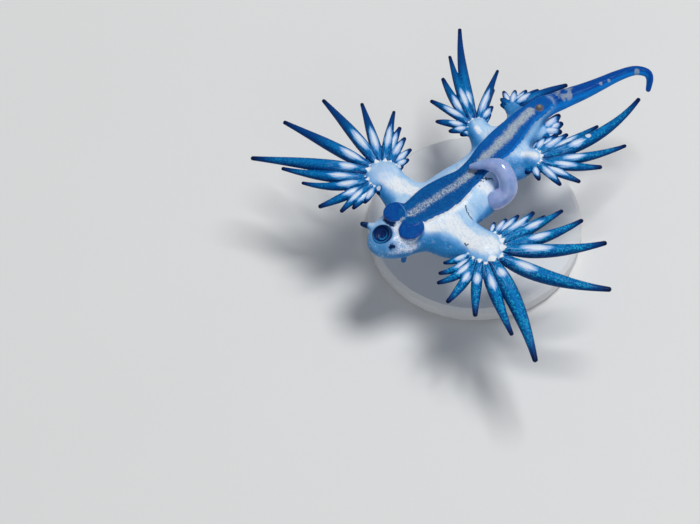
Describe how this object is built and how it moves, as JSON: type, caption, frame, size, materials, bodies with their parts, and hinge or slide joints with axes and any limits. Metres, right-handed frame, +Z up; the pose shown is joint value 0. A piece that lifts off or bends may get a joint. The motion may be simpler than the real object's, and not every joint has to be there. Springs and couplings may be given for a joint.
{
  "type": "blue dragon sea slug",
  "caption": "Life-size still model of a blue dragon sea slug floating belly up with its finger-like cerata spread, on a plain disc stand with two short rods.",
  "frame": {"origin": "centre of the stand base's underside, on the surface it stands on", "axes": "+Z up; the slug floats belly up with its head toward -Y and its anatomical right side toward +X"},
  "size_m": [0.0388, 0.0372, 0.0144],
  "materials": {
    "silver_skin": "wet gloss, silvery white to pale blue",
    "blue_sole": "wet gloss, dark blue with a silvery middle line",
    "blue_tail": "wet gloss, bright blue",
    "blue_cerata": "wet gloss, teal to dark blue with silvery patches",
    "dark_mouth": "wet gloss, dark navy",
    "lavender_organ": "smooth wet gloss, slightly translucent lavender grey",
    "pale_stand": "plain satin pale grey"
  },
  "bodies": {
    "root": {"head": "silver_skin", "mouth": "dark_mouth", "oral_tentacle_left": "silver_skin", "oral_tentacle_right": "silver_skin", "rhinophore_left": "silver_skin", "rhinophore_right": "silver_skin", "foot_lobe_left": "blue_sole", "foot_lobe_right": "blue_sole", "foot_sole_front": "blue_sole", "foot_sole_rear": "blue_sole", "trunk_front": "silver_skin", "trunk_middle": "silver_skin", "trunk_rear": "silver_skin", "tail_base": "blue_tail", "tail_middle": "blue_tail", "tail_tip": "blue_tail", "arm_front_left": "blue_cerata", "arm_front_right": "blue_cerata", "arm_middle_left": "blue_cerata", "arm_middle_right": "blue_cerata", "arm_rear_left": "blue_cerata", "arm_rear_right": "blue_cerata", "reproductive_organ": "lavender_organ", "stand_base": "pale_stand", "stand_rod_front": "pale_stand", "stand_rod_rear": "pale_stand"}
  },
  "joints": []
}
